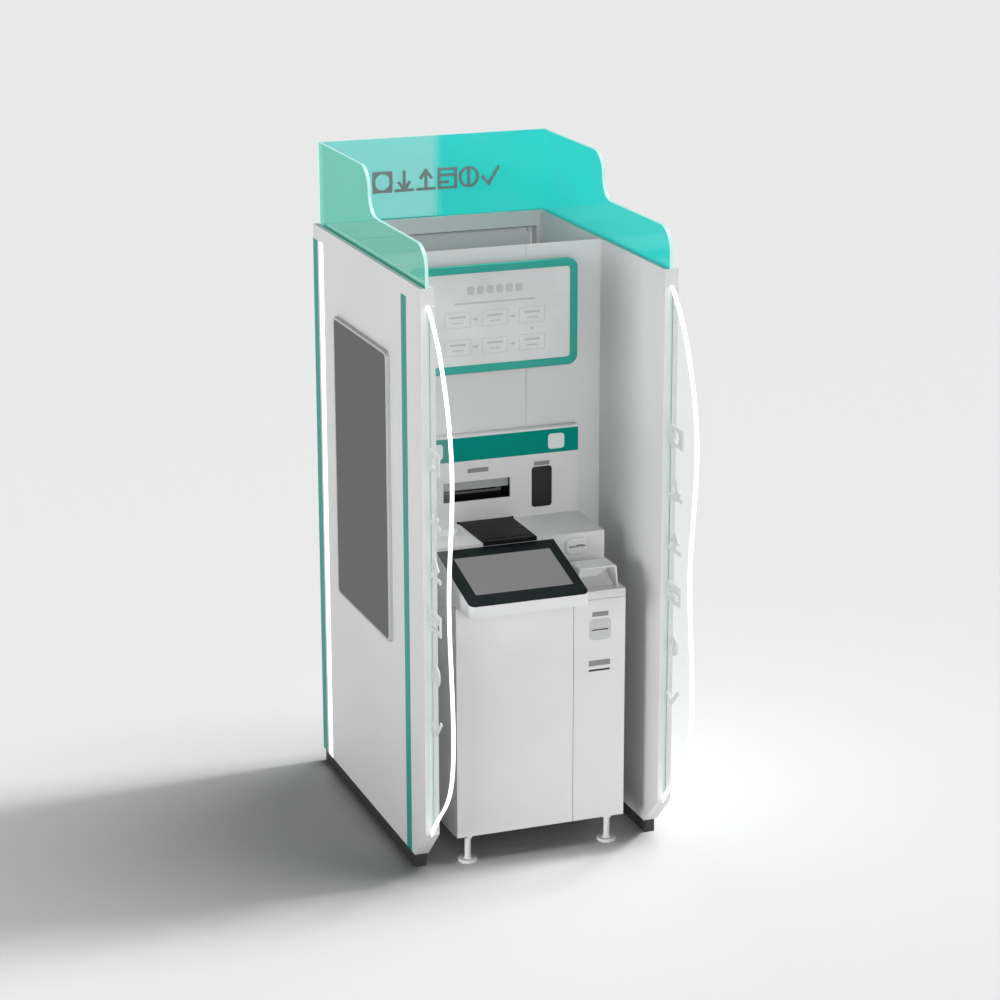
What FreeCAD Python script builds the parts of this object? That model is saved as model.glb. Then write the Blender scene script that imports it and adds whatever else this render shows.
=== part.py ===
import FreeCAD, Part

import math
import os

# Cash deposit and withdrawal machine standing in an open-fronted booth.
# Millimetres, +Z up. The customer stands on the -Y side and looks along +Y.
# While it is modelled, Y = 0 is the front plane of the two side walls and X = 0
# is the centre line. ORIGIN moves it to the centre of the footprint on the floor.

V = FreeCAD.Vector

# ---------------------------------------------------------------- driving sizes
# side walls
WALL_X = 461.0          # outer face of each side wall
WALL_T = 50.0
WALL_IN = WALL_X - WALL_T
WALL_MID = WALL_X - WALL_T / 2
DEPTH = 1214.0
WALL_TOP = 2100.0
WALL_BASE = 50.0        # underside of the walls, top of the plinths
CHAMFER = 120.0         # cut-away lower front corner
SKIN = 2.0
PLINTH_INSET = 6.0

# acrylic fins on the front edges
FIN_T = 12.0
FIN_ROOT = 28.0         # how deep the fin sits in the wall
FIN_TOP = 2042.0
FIN_REACH = 232.0       # how far the waves stand out
CLAMP_T = 4.0
LIGHT_T = 7.0

# teal header glass
GLASS_T = 12.0
GLASS_SEAT = 27.0
GLASS_TOP = 2400.0
GLASS_LOW = 2238.0
CHANNEL_W = 18.0
CHANNEL_D = 30.0
BACK_GLASS_Y = 1183.0

# rear frame and door
REAR_Y = 1164.0
DOORWAY_X = 396.0
DOORWAY_Z0 = 84.0
DOORWAY_Z1 = 2042.0
REAR_GAP = 3.0
REAR_DOOR_T = 28.0

# inner fascia
FASCIA_Y = 571.0
FASCIA_T = 3.0
FASCIA_SEAM_X = 127.0

# cash machine
HALF = 315.0            # half width of the cabinet and shelf
FRONT_Y = 85.0          # front of the cabinet doors
CAB_Z0 = 100.0
CAB_Z1 = 957.0
SEAT_Z = CAB_Z1 - 1.0    # top of the cabinet, where the upper modules sit
CAB_BACK = 1080.0
DOOR_T = 20.0
DOOR_GAP = 4.0
SEAM_X = 120.0          # between the wide door and the right column
SHEET = 2.0
CARCASS_Y = FRONT_Y + DOOR_T + DOOR_GAP
COLUMN_CAP_Z = 928.0
SHELF_Y = 284.0
SHELF_Z = 1112.0
HEAD_Y = 541.0
HEAD_Z = 1435.0
HEAD_HALF = 316.0

# touch console
LIP_Y = -58.0
LIP_Z0 = 962.0
LIP_Z1 = 1003.0
BEZEL_T = 5.0
CONSOLE_BACK_Z = 1096.0
CONSOLE_R = 22.0

# door pivots
PIVOT_R = 4.0
PIVOT_CLEAR = 0.05
PIVOT_IN_X = 6.0        # pivot line from the side of the cabinet
PIVOT_IN_Y = 10.0       # pivot line from the front of the door
PIVOT_LONG = 12.0

# cash slot and its shutter
SLOT_X0, SLOT_X1 = -199.0, 54.0
SLOT_Z0, SLOT_Z1 = 1191.0, 1264.0
THROAT_D = 90.0
SHUTTER_TRAVEL = 37.0   # from closed to the half-open position it is built in

# card reader, centre of its plate
READER_X, READER_Z = 202.0, 1066.0

# black lid over the PIN pad
LID_X0, LID_X1 = -143.0, 56.0
LID_T = 6.0
LID_LIP = 15.0
LID_Z0 = SHELF_Z + 0.4
LID_HINGE_Y = 533.0

nodes = {}


# ---------------------------------------------------------------- shape helpers
def box(x0, x1, y0, y1, z0, z1):
    return Part.makeBox(x1 - x0, y1 - y0, z1 - z0, V(x0, y0, z0))


def hollow_box(x0, x1, y0, y1, z0, z1, wall):
    inner = box(x0 + wall, x1 - wall, y0 + wall, y1 - wall, z0 + wall, z1 - wall)
    return box(x0, x1, y0, y1, z0, z1).cut(inner)


def rod(x, y, z, length, radius, axis=V(0, 0, 1)):
    return Part.makeCylinder(radius, length, V(x, y, z), axis)


def face_of(edges):
    return Part.Face(Part.Wire(edges))


def prism_yz(corners, x0, x1):
    """Straight-sided profile of (y, z) corners, extruded from x0 to x1."""
    ring = [V(x0, y, z) for y, z in corners]
    return Part.Face(Part.makePolygon(ring + ring[:1])).extrude(V(x1 - x0, 0, 0))


def round_edges(solid, radius, pick):
    """Fillet the edges for which pick(edge) is true."""
    edges = [edge for edge in solid.Edges if pick(edge)]
    return solid.makeFillet(radius, edges)


def runs_along(edge, axis):
    a, b = edge.Vertexes[0].Point, edge.Vertexes[-1].Point
    step = b.sub(a)
    others = [getattr(step, name) for name in "xyz" if name != axis]
    return max(abs(v) for v in others) < 1e-6 and abs(getattr(step, axis)) > 1e-6


def plate_xz(x0, x1, z0, z1, y0, y1, radius=0.0):
    """Plate in the XZ plane with rounded corners."""
    plate = box(x0, x1, y0, y1, z0, z1)
    if radius:
        plate = round_edges(plate, radius, lambda e: runs_along(e, "y"))
    return plate


def plate_yz(y0, y1, z0, z1, x0, x1, radius=0.0):
    """Plate in the YZ plane with rounded corners."""
    plate = box(x0, x1, y0, y1, z0, z1)
    if radius:
        plate = round_edges(plate, radius, lambda e: runs_along(e, "x"))
    return plate


def bar_between(a, b, width, x0, x1):
    """Flat bar in the YZ plane from a to b, both (y, z)."""
    dy, dz = b[0] - a[0], b[1] - a[1]
    long = math.hypot(dy, dz)
    ny, nz = -dz / long * width / 2, dy / long * width / 2
    corners = [(a[0] + ny, a[1] + nz), (b[0] + ny, b[1] + nz),
               (b[0] - ny, b[1] - nz), (a[0] - ny, a[1] - nz)]
    return prism_yz(corners, x0, x1)


def mirrored(solid):
    return solid.mirror(V(0, 0, 0), V(1, 0, 0))


def keep(name, *solids):
    nodes[name] = list(solids)


# ---------------------------------------------------------------- acrylic fins
def wave_edge(shift):
    """Front edge of a fin, moved back by shift: a smooth double wave."""
    low_y = 12.0
    low_z = WALL_BASE + CHAMFER - low_y
    points = [(0, FIN_TOP), (-75, 1965), (-152, 1835), (-FIN_REACH, 1510), (-194, 1110),
              (-FIN_REACH + 4, 620), (-178, 375), (-60, 246), (low_y, low_z)]
    curve = Part.BSplineCurve()
    curve.interpolate([V(0, y + shift, z) for y, z in points])
    return curve.toShape()


def fin_region(front, back_y):
    """Solid of fin thickness between a wave edge and the plane y = back_y."""
    top = front.Vertexes[0].Point
    low = front.Vertexes[-1].Point
    back_top = V(0, back_y, top.z)
    back_low = V(0, back_y, low.z)
    edges = [front, Part.LineSegment(low, back_low).toShape(),
             Part.LineSegment(back_low, back_top).toShape(),
             Part.LineSegment(back_top, top).toShape()]
    flat = face_of(edges)
    flat.translate(V(-FIN_T / 2, 0, 0))
    return flat.extrude(V(FIN_T, 0, 0))


def make_fins():
    whole = fin_region(wave_edge(0), FIN_ROOT)
    core = fin_region(wave_edge(LIGHT_T), FIN_ROOT)
    light = whole.cut(core)
    fin = whole.cut(light)
    keep("left_fin", fin.translated(V(-WALL_MID, 0, 0)))
    keep("right_fin", fin.translated(V(WALL_MID, 0, 0)))
    keep("fin_lights", light.translated(V(-WALL_MID, 0, 0)), light.translated(V(WALL_MID, 0, 0)))
    return whole


# ---------------------------------------------------------------- side walls
def wall_profile(inset):
    low = WALL_BASE + inset
    slope = inset * math.tan(math.radians(22.5))
    front = CLAMP_T + inset
    return [(front, WALL_BASE + CHAMFER - CLAMP_T + slope), (CHAMFER + slope, low),
            (DEPTH - inset, low), (DEPTH - inset, WALL_TOP - inset), (front, WALL_TOP - inset)]


def make_walls(fin):
    solid = prism_yz(wall_profile(0), -WALL_T / 2, WALL_T / 2)
    hollow = prism_yz(wall_profile(SKIN), -WALL_T / 2 + SKIN, WALL_T / 2 - SKIN)
    wall = solid.cut(hollow)
    wall = wall.cut(fin)
    groove_w = 5.0
    groove = bar_between((CLAMP_T, WALL_BASE + CHAMFER - CLAMP_T), (CHAMFER, WALL_BASE), 3.0,
                         -groove_w / 2, groove_w / 2)
    wall = wall.cut(groove)
    channel_slot = box(-CHANNEL_W / 2, CHANNEL_W / 2, CLAMP_T + SKIN, BACK_GLASS_Y - 3,
                       WALL_TOP - CHANNEL_D, WALL_TOP)
    wall = wall.cut(channel_slot)
    keep("left_wall", wall.translated(V(-WALL_MID, 0, 0)))
    keep("right_wall", wall.translated(V(WALL_MID, 0, 0)))

    clamp_profile = [(0, WALL_BASE + CHAMFER), (CLAMP_T, WALL_BASE + CHAMFER - CLAMP_T),
                     (CLAMP_T, FIN_TOP), (0, FIN_TOP)]
    strips = []
    for x in (-WALL_MID, WALL_MID):
        strips.append(prism_yz(clamp_profile, x - WALL_T / 2, x - FIN_T / 2))
        strips.append(prism_yz(clamp_profile, x + FIN_T / 2, x + WALL_T / 2))
    keep("fin_clamps", *strips)


def tube(x0, x1, y0, y1, z0, z1, along, wall=2.0):
    """Square steel tube, open at both ends along the named axis."""
    outer = box(x0, x1, y0, y1, z0, z1)
    gap = {"x": (0, wall, wall), "y": (wall, 0, wall), "z": (wall, wall, 0)}[along]
    inner = box(x0 + gap[0], x1 - gap[0], y0 + gap[1], y1 - gap[1], z0 + gap[2], z1 - gap[2])
    return outer.cut(inner)


def make_wall_frames():
    size = 40.0
    y0, y1 = 130.0, DEPTH - 12.0
    z0, z1 = WALL_BASE + SKIN, WALL_TOP - CHANNEL_D
    frames = []
    for x in (-WALL_MID, WALL_MID):
        a, b = x - size / 2, x + size / 2
        frame = tube(a, b, y0, y0 + size, z0, z1, "z")
        frame = frame.fuse(tube(a, b, y1 - size, y1, z0, z1, "z"))
        for z in (z0, (z0 + z1) / 2, z1 - size):
            frame = frame.fuse(tube(a, b, y0 + size, y1 - size, z, z + size, "y"))
        frames.append(frame)
    keep("wall_frames", *frames)


def make_plinths():
    y0 = CHAMFER + PLINTH_INSET
    y1 = DEPTH - PLINTH_INSET
    side = box(-WALL_X + PLINTH_INSET, -WALL_IN - PLINTH_INSET, y0, y1, 0, WALL_BASE)
    sill_x = WALL_IN + PLINTH_INSET
    sill = box(-sill_x, sill_x, REAR_Y + PLINTH_INSET, y1, 0, WALL_BASE)
    keep("plinths", side, mirrored(side), sill)


def make_wall_trims():
    proud = 1.5
    z0, z1 = WALL_BASE + 2, FIN_TOP + 4
    strips = []
    for y0, y1 in ((DEPTH - 50, DEPTH - 1), (152, 202)):
        strip = box(-WALL_X - proud, -WALL_X, y0, y1, z0, z1)
        strips += [strip, mirrored(strip)]
    keep("wall_trims", *strips)
    light = box(-WALL_X - proud, -WALL_X, DEPTH - 118, DEPTH - 76, z0, z1)
    keep("rear_lights", light, mirrored(light))


# ---------------------------------------------------------------- header glass
def side_glass():
    """Stepped side panel: high at the back, an S-bend, low at the front."""
    y0, y1 = 8.0, BACK_GLASS_Y
    z0 = WALL_TOP - GLASS_SEAT
    nose, rise, crown = 85.0, 80.0, 82.0
    y_s = 610.0
    half = math.sqrt(0.5)

    def arc(centre, radius, start, end):
        """Quarter turn about centre from unit direction start to end."""
        a = V(0, centre[0] + radius * start[0], centre[1] + radius * start[1])
        b = V(0, centre[0] + radius * end[0], centre[1] + radius * end[1])
        mid = V(0, centre[0] + radius * half * (start[0] + end[0]),
                centre[1] + radius * half * (start[1] + end[1]))
        return Part.Arc(a, mid, b).toShape(), a, b

    front_arc, a0, a1 = arc((y0 + nose, GLASS_LOW - nose), nose, (-1, 0), (0, 1))
    low_arc, b0, b1 = arc((y_s - rise, GLASS_LOW + rise), rise, (0, -1), (1, 0))
    top_arc, c0, c1 = arc((y_s + crown, GLASS_TOP - crown), crown, (-1, 0), (0, 1))
    corner, base_back, base_front = V(0, y1, GLASS_TOP), V(0, y1, z0), V(0, y0, z0)
    edges = [front_arc, Part.LineSegment(a1, b0).toShape(), low_arc, top_arc,
             Part.LineSegment(c1, corner).toShape(), Part.LineSegment(corner, base_back).toShape(),
             Part.LineSegment(base_back, base_front).toShape(),
             Part.LineSegment(base_front, a0).toShape()]
    flat = face_of(edges)
    flat.translate(V(-GLASS_T / 2, 0, 0))
    return flat.extrude(V(GLASS_T, 0, 0))


def make_header():
    side = side_glass()
    keep("header_left", side.translated(V(-WALL_MID, 0, 0)))
    keep("header_right", side.translated(V(WALL_MID, 0, 0)))
    x = WALL_MID + GLASS_T / 2
    keep("header_back", box(-x, x, BACK_GLASS_Y, BACK_GLASS_Y + GLASS_T,
                            WALL_TOP - GLASS_SEAT, GLASS_TOP))

    outer, inner = CHANNEL_W / 2, GLASS_T / 2
    z0, z1 = WALL_TOP - CHANNEL_D, WALL_TOP
    back_y0 = BACK_GLASS_Y - 3
    side_u = box(-outer, outer, CLAMP_T + SKIN, back_y0, z0, z1)
    side_u = side_u.cut(box(-inner, inner, CLAMP_T + SKIN, back_y0, z0 + 3, z1))
    end = WALL_MID + outer
    back_u = box(-end, end, back_y0, back_y0 + CHANNEL_W, z0, z1)
    back_u = back_u.cut(box(-x, x, BACK_GLASS_Y, BACK_GLASS_Y + GLASS_T, z0 + 3, z1))
    for side_x in (-WALL_MID, WALL_MID):
        back_u = back_u.cut(box(side_x - inner, side_x + inner, back_y0, BACK_GLASS_Y, z0 + 3, z1))
    keep("header_channels", side_u.translated(V(-WALL_MID, 0, 0)),
         side_u.translated(V(WALL_MID, 0, 0)), back_u)
    for side in ("left_wall", "right_wall"):
        slot = box(-end, end, back_y0, back_y0 + CHANNEL_W, z0, z1)
        nodes[side] = [nodes[side][0].cut(slot)]
    return box(-end, end, back_y0, back_y0 + CHANNEL_W, z0, z1)


# ---------------------------------------------------------------- picture signs
def icon_strokes(number, w, h):
    """Generic line pictures, as bars and rings (kind, numbers) in a w x h field.

    0 banknote, 1 down arrow, 2 up arrow, 3 bank card, 4 coin, 5 check mark.
    """
    a, b = w / 2, h / 2
    frame = [("bar", -a, b, a, b), ("bar", -a, -b, a, -b), ("bar", -a, -b, -a, b),
             ("bar", a, -b, a, b)]
    pictures = [
        frame + [("ring", 0, 0, b)],
        [("bar", 0, b, 0, -b), ("bar", -a * 0.6, -b * 0.2, 0, -b),
         ("bar", a * 0.6, -b * 0.2, 0, -b), ("bar", -a, -b, a, -b)],
        [("bar", 0, -b, 0, b), ("bar", -a * 0.6, b * 0.2, 0, b),
         ("bar", a * 0.6, b * 0.2, 0, b), ("bar", -a, -b, a, -b)],
        frame + [("bar", -a, b * 0.35, a, b * 0.35), ("bar", -a, -b * 0.4, 0, -b * 0.4)],
        [("ring", 0, 0, b), ("bar", 0, -b, 0, b)],
        [("bar", -a * 0.9, -b * 0.1, -a * 0.2, -b * 0.9), ("bar", -a * 0.2, -b * 0.9, a, b * 0.9)],
    ]
    return pictures[number]


def icon(number, w, h, stroke, depth):
    """One raised picture, centred, in the XZ plane, from y = -depth to y = 0."""
    solid = None
    for piece in icon_strokes(number, w - stroke, h - stroke):
        if piece[0] == "bar":
            _, x0, z0, x1, z1 = piece
            long = math.hypot(x1 - x0, z1 - z0) + stroke
            part = box(-stroke / 2, long - stroke / 2, -depth, 0, -stroke / 2, stroke / 2)
            angle = -math.degrees(math.atan2(z1 - z0, x1 - x0))
            part.rotate(V(0, 0, 0), V(0, 1, 0), angle)
            part.translate(V(x0, 0, z0))
        else:
            _, x0, z0, r = piece
            part = rod(x0, -depth, z0, depth, r + stroke / 2, V(0, 1, 0))
            part = part.cut(rod(x0, -depth, z0, depth, r - stroke / 2, V(0, 1, 0)))
        solid = part if solid is None else solid.fuse(part)
    return solid.removeSplitter()


def make_header_icons():
    pitch, w, h, depth, stand_off = 84.0, 74.0, 78.0, 8.0, 10.0
    z = 2242.0
    stroke = 9.0
    a, b = (w - stroke) / 2, (h - stroke) / 2
    sides, middle = [(-a, 0), (a, 0)], [(0, -b / 3), (0, b / 3)]
    stud_spots = [sides, middle, middle, sides, middle, [(a * 0.04, -b * 0.54), (a * 0.76, b * 0.54)]]
    signs = []
    for n in range(6):
        x = 3 + (n - 2.5) * pitch
        sign = icon(n, w, h, stroke, depth).translated(V(x, BACK_GLASS_Y - stand_off, z))
        for sx, sz in stud_spots[n]:
            stud = rod(x + sx, BACK_GLASS_Y - stand_off - 2, z + sz, stand_off + 2, 3.0, V(0, 1, 0))
            sign = sign.fuse(stud)
        signs.append(sign)
    keep("header_icons", *signs)


def make_fin_icons():
    """The same six pictures standing on the left face of each fin."""
    w, h, depth, pitch, y, z_top = 104.0, 72.0, 5.0, 187.5, -80.0, 1533.0
    signs = []
    for x in (-WALL_MID, WALL_MID):
        for n in range(6):
            sign = icon(n, w, h, 14.0, depth)
            sign.rotate(V(0, 0, 0), V(0, 0, 1), -90)
            signs.append(sign.translated(V(x - FIN_T / 2, y, z_top - n * pitch)))
    keep("fin_icons", *signs)


# ---------------------------------------------------------------- rear of the booth
def make_rear(channel_block):
    frame = box(-WALL_IN, WALL_IN, REAR_Y, DEPTH, WALL_BASE, WALL_TOP)
    frame = frame.cut(box(-DOORWAY_X, DOORWAY_X, REAR_Y, DEPTH, DOORWAY_Z0, DOORWAY_Z1))
    top_hollow = box(-WALL_IN + SKIN, WALL_IN - SKIN, REAR_Y + SKIN, DEPTH - SKIN,
                     DOORWAY_Z1 + SKIN, WALL_TOP - SKIN)
    frame = frame.cut(top_hollow).cut(channel_block)
    keep("rear_frame", frame)

    x0, x1 = -DOORWAY_X + REAR_GAP, DOORWAY_X - REAR_GAP
    z0, z1 = DOORWAY_Z0 + REAR_GAP + 4, DOORWAY_Z1 - REAR_GAP - 4
    y1 = DEPTH - 2
    y0 = y1 - REAR_DOOR_T
    door = box(x0, x1, y0, y1, z0, z1)
    door = door.cut(box(x0 + 2, x1 - 2, y0, y1 - 2, z0 + 2, z1 - 2))
    rib = 30.0
    for z in (z0 + 500, z0 + 1000, z0 + 1500):
        door = door.fuse(box(x0 + 2, x1 - 2, y0, y1 - 2, z, z + rib))
    vent = None
    for n in range(8):
        z = 300 + n * 24
        louvre = box(-150, 150, y0 - 1, y1 + 1, z, z + 9)
        vent = louvre if vent is None else vent.fuse(louvre)
    door = door.cut(vent)

    px, py = DOORWAY_X - REAR_GAP - 9, y1 - 9
    block = 20.0
    for z in (z0, z1 - block):
        door = door.fuse(box(px - 10, x1 - 2, py - 10, y1 - 2, z, z + block))
    door = door.cut(rod(px, py, z0, PIVOT_LONG, PIVOT_R + PIVOT_CLEAR))
    door = door.cut(rod(px, py, z1 - PIVOT_LONG, PIVOT_LONG, PIVOT_R + PIVOT_CLEAR))
    corner = box(px, x1 + 1, py, y1 + 1, z0 - 1, z1 + 1)
    corner = corner.cut(rod(px, py, z0 - 1, z1 - z0 + 2, 9.0))
    inner_corner = box(px, x1 + 1, y0 - 1, py, z0 - 1, z1 + 1)
    door = door.cut(corner).cut(inner_corner.cut(rod(px, py, z0 - 1, z1 - z0 + 2, 9.0)))

    spindle_x, spindle_z = x0 + 60, 1080.0
    rosette = rod(spindle_x, y1, spindle_z, 6.0, 22.0, V(0, 1, 0))
    door = door.fuse(rosette)
    door = door.fuse(rod(spindle_x, y0, spindle_z, REAR_DOOR_T, 16.0, V(0, 1, 0)))
    door = door.cut(rod(spindle_x, y0 - 1, spindle_z, 60, 7.05, V(0, 1, 0)))
    keep("rear_door", door)

    handle = rod(spindle_x, y0 - 2, spindle_z, REAR_DOOR_T + 10, 7.0, V(0, 1, 0))
    handle = handle.fuse(rod(spindle_x, y1 + 6.5, spindle_z, 12, 14.0, V(0, 1, 0)))
    handle = handle.fuse(box(spindle_x - 7, spindle_x + 105, y1 + 9, y1 + 18.5,
                             spindle_z - 8, spindle_z + 8))
    cam = box(spindle_x - 48, spindle_x + 9, y0 - 6, y0 - 0.5, spindle_z - 9, spindle_z + 9)
    keep("rear_handle", handle.fuse(cam))
    return {"rear_door": (px, py, z0), "rear_handle": (spindle_x, y1, spindle_z)}, (z0, z1)


# ---------------------------------------------------------------- inner fascia
def make_fascia():
    z0 = WALL_BASE + 10
    opening = box(-HEAD_HALF - 2, HEAD_HALF + 2, FASCIA_Y, FASCIA_Y + FASCIA_T, z0, HEAD_Z + 2)
    y1 = FASCIA_Y + FASCIA_T
    left = box(-WALL_IN, FASCIA_SEAM_X - 0.8, FASCIA_Y, y1, z0, WALL_TOP).cut(opening)
    right = box(FASCIA_SEAM_X + 0.8, WALL_IN, FASCIA_Y, y1, z0, WALL_TOP).cut(opening)
    keep("fascia_left", left)
    keep("fascia_right", right)


def make_info_board():
    """Light box with a rounded frame, hung on the fascia."""
    x, z0, z1 = 312.0, 1660.0, 2046.0
    frame_w, r = 28.0, 36.0
    y_front, y_join = HEAD_Y, FASCIA_Y - 16
    frame = plate_xz(-x, x, z0, z1, y_front, y_join, r)
    window = plate_xz(-x + frame_w, x - frame_w, z0 + frame_w, z1 - frame_w,
                      y_front - 1, y_join + 1, r - 24)
    frame = frame.cut(window)
    seat = 6.0
    y_panel = y_front + 5
    rebate = plate_xz(-x + frame_w - seat, x - frame_w + seat, z0 + frame_w - seat,
                      z1 - frame_w + seat, y_panel, y_join + 1, r - 20)
    keep("info_frame", round_front(frame, y_front, 3.0).cut(rebate))
    keep("info_panel", plate_xz(-x + frame_w - seat, x - frame_w + seat, z0 + frame_w - seat,
                                z1 - frame_w + seat, y_panel, y_join, r - 20))
    case = plate_xz(-x + 2, x - 2, z0 + 2, z1 - 2, y_join, FASCIA_Y, r - 2)
    hollow = plate_xz(-x + 5, x - 5, z0 + 5, z1 - 5, y_join - 1, FASCIA_Y - 2, r - 5)
    keep("info_case", case.cut(hollow))


def round_front(solid, y_front, radius):
    """Round every edge that lies in the plane y = y_front."""
    def in_front(edge):
        return all(abs(v.Point.y - y_front) < 1e-6 for v in edge.Vertexes)
    return round_edges(solid, radius, in_front)


# ---------------------------------------------------------------- advertising display
def make_ad_display():
    y0, y1, z0, z1 = 332.0, 943.0, 766.0, 1815.0
    t, bezel, r = 14.0, 11.0, 26.0
    case = plate_yz(y0, y1, z0, z1, -WALL_X - t, -WALL_X, r)

    def in_face(edge):
        return all(abs(v.Point.x + WALL_X + t) < 1e-6 for v in edge.Vertexes)

    case = round_edges(case, 3.0, in_face)
    screen_depth = 4.0
    pocket = plate_yz(y0 + bezel, y1 - bezel, z0 + bezel, z1 - bezel,
                      -WALL_X - t - 1, -WALL_X - t + screen_depth + 1, r - 8)
    keep("ad_display_case", case.cut(pocket))
    keep("ad_display_screen", plate_yz(y0 + bezel, y1 - bezel, z0 + bezel, z1 - bezel,
                                       -WALL_X - t + 1, -WALL_X - t + screen_depth + 1, r - 8))


# ---------------------------------------------------------------- machine head
def make_head():
    wall = 4.0
    y_back = FASCIA_Y + FASCIA_T
    front = box(-HEAD_HALF, HEAD_HALF, HEAD_Y, y_back, SHELF_Z, HEAD_Z)
    front = front.cut(box(-HEAD_HALF + wall, HEAD_HALF - wall, HEAD_Y + wall, y_back,
                          SHELF_Z + wall, HEAD_Z - wall))
    slot = box(SLOT_X0, SLOT_X1, HEAD_Y - 1, HEAD_Y + wall + 1, SLOT_Z0, SLOT_Z1)
    scan = (137.0, 215.0, 1142.0, 1293.0)
    front = front.cut(slot).cut(plate_xz(*scan, HEAD_Y - 1, HEAD_Y + wall + 1, 12.0))
    band = (-HEAD_HALF, HEAD_HALF, 1340.0, 1427.0)
    front = front.cut(box(band[0], band[1], HEAD_Y, HEAD_Y + 2, band[2], band[3]))
    keep("head_front", front)

    lens_z0, lens_z1 = 1354.0, 1410.0
    lens_x = (200.0, 262.0)
    strip = box(band[0], band[1], HEAD_Y, HEAD_Y + 2, band[2], band[3])
    lenses = []
    for x0, x1 in (lens_x, (-lens_x[1], -lens_x[0])):
        play = 0.1
        hole = plate_xz(x0 - play, x1 + play, lens_z0 - play, lens_z1 + play,
                        HEAD_Y - 1.5, HEAD_Y + 2, 12.0)
        strip = strip.cut(hole)
        lenses.append(plate_xz(x0, x1, lens_z0, lens_z1, HEAD_Y - 1.5, HEAD_Y + 2, 12.0))
    keep("head_band", strip)
    keep("band_windows", *lenses)

    label_t = 0.8
    keep("head_labels", box(-107, -29, HEAD_Y - label_t, HEAD_Y, 1295, 1311),
         box(146, 205, HEAD_Y - label_t, HEAD_Y, 1297, 1312))
    glass = plate_xz(scan[0] + 0.5, scan[1] - 0.5, scan[2] + 0.5, scan[3] - 0.5,
                     HEAD_Y - 0.5, HEAD_Y + wall, 11.5)
    flange = plate_xz(scan[0] - 8, scan[1] + 8, scan[2] - 8, scan[3] + 8,
                      HEAD_Y + wall, HEAD_Y + wall + 4, 14.0)
    keep("scanner_window", glass.fuse(flange))

    case = box(-HEAD_HALF, HEAD_HALF, y_back, CAB_BACK, SEAT_Z, HEAD_Z)
    case = case.cut(box(-HEAD_HALF + SHEET, HEAD_HALF - SHEET, y_back, CAB_BACK - SHEET,
                        SEAT_Z + SHEET, HEAD_Z - SHEET))
    keep("head_case", case)


def make_cash_slot():
    """Throat behind the slot, with rails for the shutter that slides up and down."""
    wall = 3.0
    y0, y1 = HEAD_Y + 4, HEAD_Y + 4 + THROAT_D
    x0, x1, z0, z1 = SLOT_X0 - wall, SLOT_X1 + wall, SLOT_Z0 - wall, SLOT_Z1 + wall
    plate_y0, plate_t, play = y0 + 16.0, 4.0, 0.5
    rail_w, rail_long = 9.0, 56.0
    throat = box(x0, x1, y0, y1, z0, z1)
    for rail_x in (x0, x1 - rail_w):
        throat = throat.fuse(box(rail_x, rail_x + rail_w, plate_y0 - 3, plate_y0 + plate_t + 3,
                                 z1 - 1, z1 + rail_long))
    throat = throat.cut(box(SLOT_X0, SLOT_X1, y0, y1, SLOT_Z0, SLOT_Z1))
    gate = box(SLOT_X0 - play, SLOT_X1 + play, plate_y0 - play, plate_y0 + plate_t + play,
               SLOT_Z0, z1 + rail_long)
    keep("cash_throat", throat.cut(gate))

    open_z = SLOT_Z0 + SHUTTER_TRAVEL
    keep("cash_shutter", box(SLOT_X0, SLOT_X1, plate_y0, plate_y0 + plate_t, open_z, z1 + 12))

    unit = hollow_box(-230, 120, y1 + 1, CAB_BACK - 60, SEAT_Z + SHEET, HEAD_Z - 40, SHEET)
    mouth = box(SLOT_X0 + 20, SLOT_X1 - 20, y1, y1 + 10, SLOT_Z0 + 8, SLOT_Z1 - 30)
    keep("cash_recycler", unit.cut(mouth))


# ---------------------------------------------------------------- shelf
def make_shelf():
    top_t = 8.0
    shell = box(-HALF, HALF, SHELF_Y, HEAD_Y, SEAT_Z, SHELF_Z)
    shell = shell.cut(box(-HALF + SHEET, HALF - SHEET, SHELF_Y + SHEET, HEAD_Y,
                          SEAT_Z, SHELF_Z - top_t))
    dish_x0, dish_x1, dish_y0, dish_y1, dish_depth = -290.0, -165.0, 396.0, 482.0, 18.0
    pan_wall = 4.0
    shell = shell.fuse(box(dish_x0 - pan_wall, dish_x1 + pan_wall, dish_y0 - pan_wall,
                           dish_y1 + pan_wall, SHELF_Z - dish_depth - pan_wall, SHELF_Z - top_t))
    shell = shell.cut(bowl(dish_x0, dish_x1, dish_y0, dish_y1, SHELF_Z, dish_depth, dish_depth))

    pad_x0, pad_x1, pad_y0, pad_y1 = LID_X0 + 26, LID_X1 - 26, 330.0, 500.0
    well_z = SHELF_Z - 42
    well = box(pad_x0 - pan_wall, pad_x1 + pan_wall, pad_y0 - pan_wall, pad_y1 + pan_wall,
               well_z - pan_wall, SHELF_Z - top_t)
    shell = shell.fuse(well).cut(box(pad_x0, pad_x1, pad_y0, pad_y1, well_z, SHELF_Z + 1))
    shell = shell.cut(box(READER_X - 50, READER_X + 50, SHELF_Y - 1, SHELF_Y + SHEET + 1,
                          READER_Z - 34, READER_Z + 32))
    keep("shelf", shell.removeSplitter())

    pad = box(pad_x0, pad_x1, pad_y0, pad_y1, well_z, SHELF_Z - 16)
    key, gap = 24.0, 8.0
    for row in range(4):
        for col in range(4):
            kx = pad_x0 + 14 + col * (key + gap)
            ky = pad_y0 + 26 + row * (key + gap)
            pad = pad.fuse(box(kx, kx + key, ky, ky + key, SHELF_Z - 16, SHELF_Z - 13.5))
    keep("pin_pad", pad)


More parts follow.
